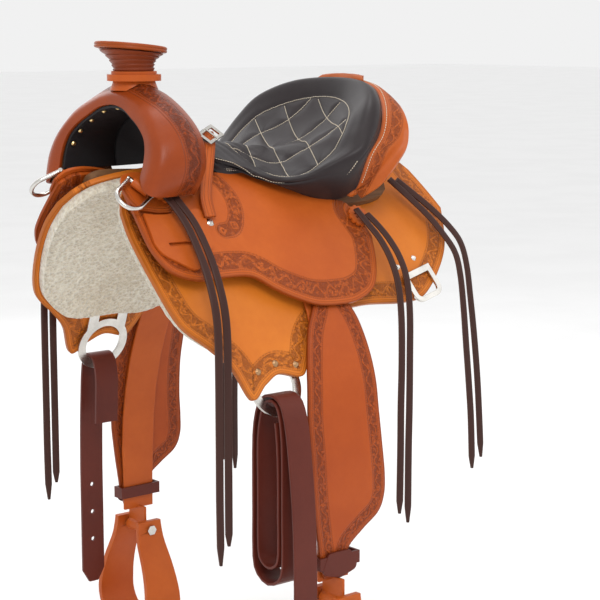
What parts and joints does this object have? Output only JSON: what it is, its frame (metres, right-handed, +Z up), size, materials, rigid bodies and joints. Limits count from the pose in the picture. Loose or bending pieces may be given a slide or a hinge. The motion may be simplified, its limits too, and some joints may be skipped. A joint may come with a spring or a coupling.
{
  "type": "western saddle",
  "caption": "Western saddle with a slick fork and dally horn, padded quilted seat, rolled cantle, tooled skirts, hanging fenders with stirrups, rigging rings, latigo and tie strings.",
  "frame": {"origin": "over the horse's spine, midway along the bars, where the tree rests on the back", "axes": "+Z up, -X towards the horse's head, -Y the near (left) side of the horse"},
  "size_m": [0.6493, 0.6302, 0.9446],
  "materials": {
    "russet": "satin finished leather",
    "tan": "light russet leather",
    "burgundy": "oiled latigo leather",
    "black_leather": "soft charcoal leather",
    "string_brown": "dark latigo string",
    "wood": "bare wood under rawhide",
    "steel": "stainless steel",
    "copper": "copper rivet",
    "wool": "woolskin"
  },
  "bodies": {
    "saddle": {"tree_bars": "wood", "fork_core": "wood", "cantle_board": "wood", "horn_post": "wood", "horn_cap": "russet", "horn_wrap": "burgundy", "horn_collar": "russet", "fork_cover": "russet", "gullet_lining": "black_leather", "gullet_tacks": "copper", "ground_seat": "wood", "seat_cushion": "black_leather", "cantle_roll": "russet", "cantle_back": "russet", "jockey_near": "russet", "jockey_off": "russet", "front_jockey_near": "russet", "front_jockey_off": "russet", "latigo_keeper": "russet", "skirt_near": "tan", "skirt_off": "tan", "fleece_near": "wool", "fleece_off": "wool", "rigging_ring_near": "steel", "rigging_ring_off": "steel", "rear_dee_near": "steel", "rear_dee_off": "steel", "copper_rivets": "copper", "steel_rivets": "steel", "dee_loops": "russet", "string_rosettes": "russet", "string_front_near_a": "string_brown", "string_front_near_b": "string_brown", "string_front_off_a": "string_brown", "string_front_off_b": "string_brown", "string_seat_near_a": "string_brown", "string_seat_near_b": "string_brown", "string_seat_off_a": "string_brown", "string_seat_off_b": "string_brown", "string_rear_near_a": "string_brown", "string_rear_near_b": "string_brown", "string_rear_off_a": "string_brown", "string_rear_off_b": "string_brown", "rope_strap": "russet", "rope_buckle": "steel", "leather_hangers": "russet"},
    "breast_dee_near": {"breast_dee_near": "steel"},
    "breast_dee_off": {"breast_dee_off": "steel"},
    "fender_near": {"leather_near": "russet", "fender_near": "russet", "hobble_near": "burgundy"},
    "fender_off": {"leather_off": "russet", "fender_off": "russet", "hobble_off": "burgundy"},
    "stirrup_near": {"stirrup_near": "russet", "bolt_near": "steel"},
    "stirrup_off": {"stirrup_off": "russet", "bolt_off": "steel"},
    "latigo": {"latigo": "burgundy"},
    "off_billet": {"off_billet": "burgundy"}
  },
  "joints": [
    {"name": "breast_dee_near_swing", "type": "hinge", "parent": "saddle", "child": "breast_dee_near", "pos_m": [-0.243, -0.0972, -0.02059], "axis": [0.5592, -0.5807, -0.5917], "range_deg": [-25, 10]},
    {"name": "breast_dee_off_swing", "type": "hinge", "parent": "saddle", "child": "breast_dee_off", "pos_m": [-0.243, 0.0972, -0.02059], "axis": [-0.5592, -0.5807, 0.5917], "range_deg": [-25, 10]},
    {"name": "fender_near_swing", "type": "hinge", "parent": "saddle", "child": "fender_near", "pos_m": [0.01, -0.13976, -0.1277], "axis": [0, 0.9535, -0.3014], "range_deg": [-15, 1]},
    {"name": "fender_off_swing", "type": "hinge", "parent": "saddle", "child": "fender_off", "pos_m": [0.01, 0.13976, -0.1277], "axis": [0, 0.9535, 0.3014], "range_deg": [-15, 1]},
    {"name": "stirrup_near_swing", "type": "hinge", "parent": "fender_near", "child": "stirrup_near", "pos_m": [-0.022, -0.243, -0.611], "axis": [0, 1, 0], "range_deg": [-50, 4]},
    {"name": "stirrup_off_swing", "type": "hinge", "parent": "fender_off", "child": "stirrup_off", "pos_m": [-0.022, 0.243, -0.611], "axis": [0, 1, 0], "range_deg": [-50, 50]},
    {"name": "latigo_swing", "type": "hinge", "parent": "saddle", "child": "latigo", "pos_m": [-0.104, -0.22589, -0.3297], "axis": [1, 0, 0], "range_deg": [-12, 2]},
    {"name": "off_billet_swing", "type": "hinge", "parent": "saddle", "child": "off_billet", "pos_m": [-0.104, 0.22589, -0.3297], "axis": [1, 0, 0], "range_deg": [-2, 12]}
  ]
}
